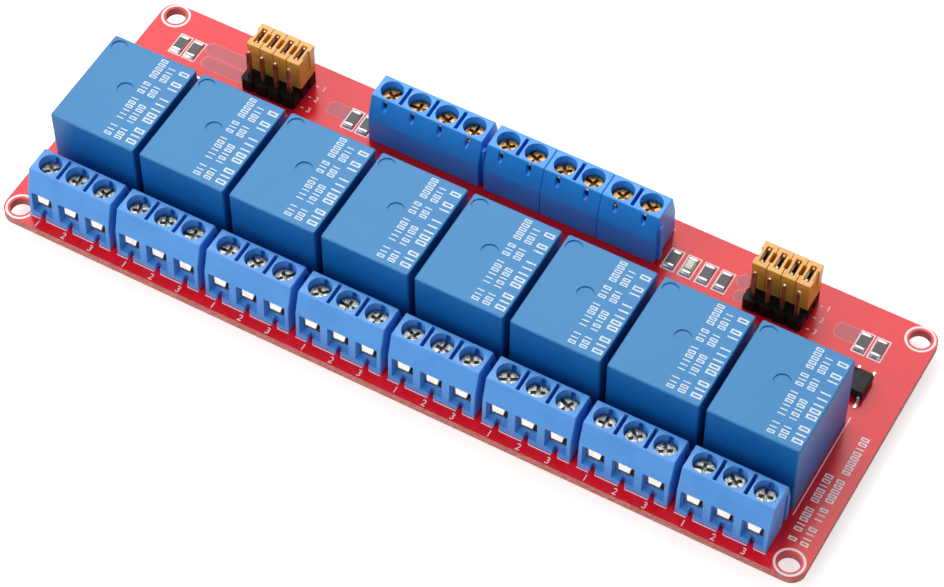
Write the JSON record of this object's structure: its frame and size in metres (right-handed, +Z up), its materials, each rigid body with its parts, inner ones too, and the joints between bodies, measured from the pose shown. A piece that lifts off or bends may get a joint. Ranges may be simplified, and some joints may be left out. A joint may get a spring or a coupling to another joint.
{
  "type": "relay module board",
  "caption": "Long circuit board with a row of relays, screw terminals along both long edges and pin headers with jumper caps, for switching loads from logic signals.",
  "frame": {"origin": "centre of the four mounting holes, on the underside of the board", "axes": "+X along the board, +Y from the output terminals to the supply terminals, +Z up through the relays"},
  "size_m": [0.143, 0.0516, 0.0192],
  "materials": {
    "board": "gloss solder mask",
    "relay_case": "satin moulded plastic",
    "relay_base": "matte moulded plastic",
    "coil_wire": "enamelled copper wire",
    "relay_iron": "plated iron",
    "relay_spring": "spring bronze",
    "relay_contact": "plated brass",
    "tinned_lead": "tinned",
    "output_housing": "satin moulded plastic",
    "rear_housing": "satin moulded plastic",
    "clamp": "plated steel",
    "guard": "bright plated steel",
    "screw": "plated steel",
    "rear_screw": "brass-coloured plating",
    "header_plastic": "matte",
    "header_pin": "gold-coloured plating",
    "cap": "glossy amber",
    "clip": "plated",
    "solder": "shiny solder",
    "chip_black": "matte",
    "chip_metal": "tinned",
    "lamp": "clear lens"
  },
  "bodies": {
    "root": {"circuit_board": "board", "relay_case_1": "relay_case", "relay_case_2": "relay_case", "relay_case_3": "relay_case", "relay_case_4": "relay_case", "relay_case_5": "relay_case", "relay_case_6": "relay_case", "relay_case_7": "relay_case", "relay_case_8": "relay_case", "relay_bases": "relay_base", "relay_coils": "coil_wire", "relay_yokes": "relay_iron", "relay_armatures": "relay_spring", "relay_contacts": "relay_contact", "relay_coil_pins": "tinned_lead", "output_terminal_1": "output_housing", "output_terminal_2": "output_housing", "output_terminal_3": "output_housing", "output_terminal_4": "output_housing", "output_terminal_5": "output_housing", "output_terminal_6": "output_housing", "output_terminal_7": "output_housing", "output_terminal_8": "output_housing", "output_clamps": "clamp", "output_guards": "guard", "output_screws": "screw", "supply_terminal": "rear_housing", "control_terminal_1": "rear_housing", "control_terminal_2": "rear_housing", "control_terminal_3": "rear_housing", "rear_clamps": "clamp", "rear_guards": "guard", "rear_screws": "rear_screw", "header_left": "header_plastic", "header_right": "header_plastic", "header_pins": "header_pin", "jumper_cap_1": "cap", "jumper_cap_2": "cap", "jumper_cap_3": "cap", "jumper_cap_4": "cap", "jumper_cap_5": "cap", "jumper_cap_6": "cap", "jumper_cap_7": "cap", "jumper_cap_8": "cap", "jumper_clips": "clip", "solder_joints": "solder", "optocoupler_bodies": "chip_black", "optocoupler_leads": "chip_metal", "transistor_bodies": "chip_black", "transistor_leads": "chip_metal", "diode_bodies": "chip_black", "diode_leads": "chip_metal", "resistor_bodies": "chip_black", "resistor_ends": "chip_metal", "lamp_bodies": "lamp", "lamp_ends": "chip_metal"}
  },
  "joints": []
}
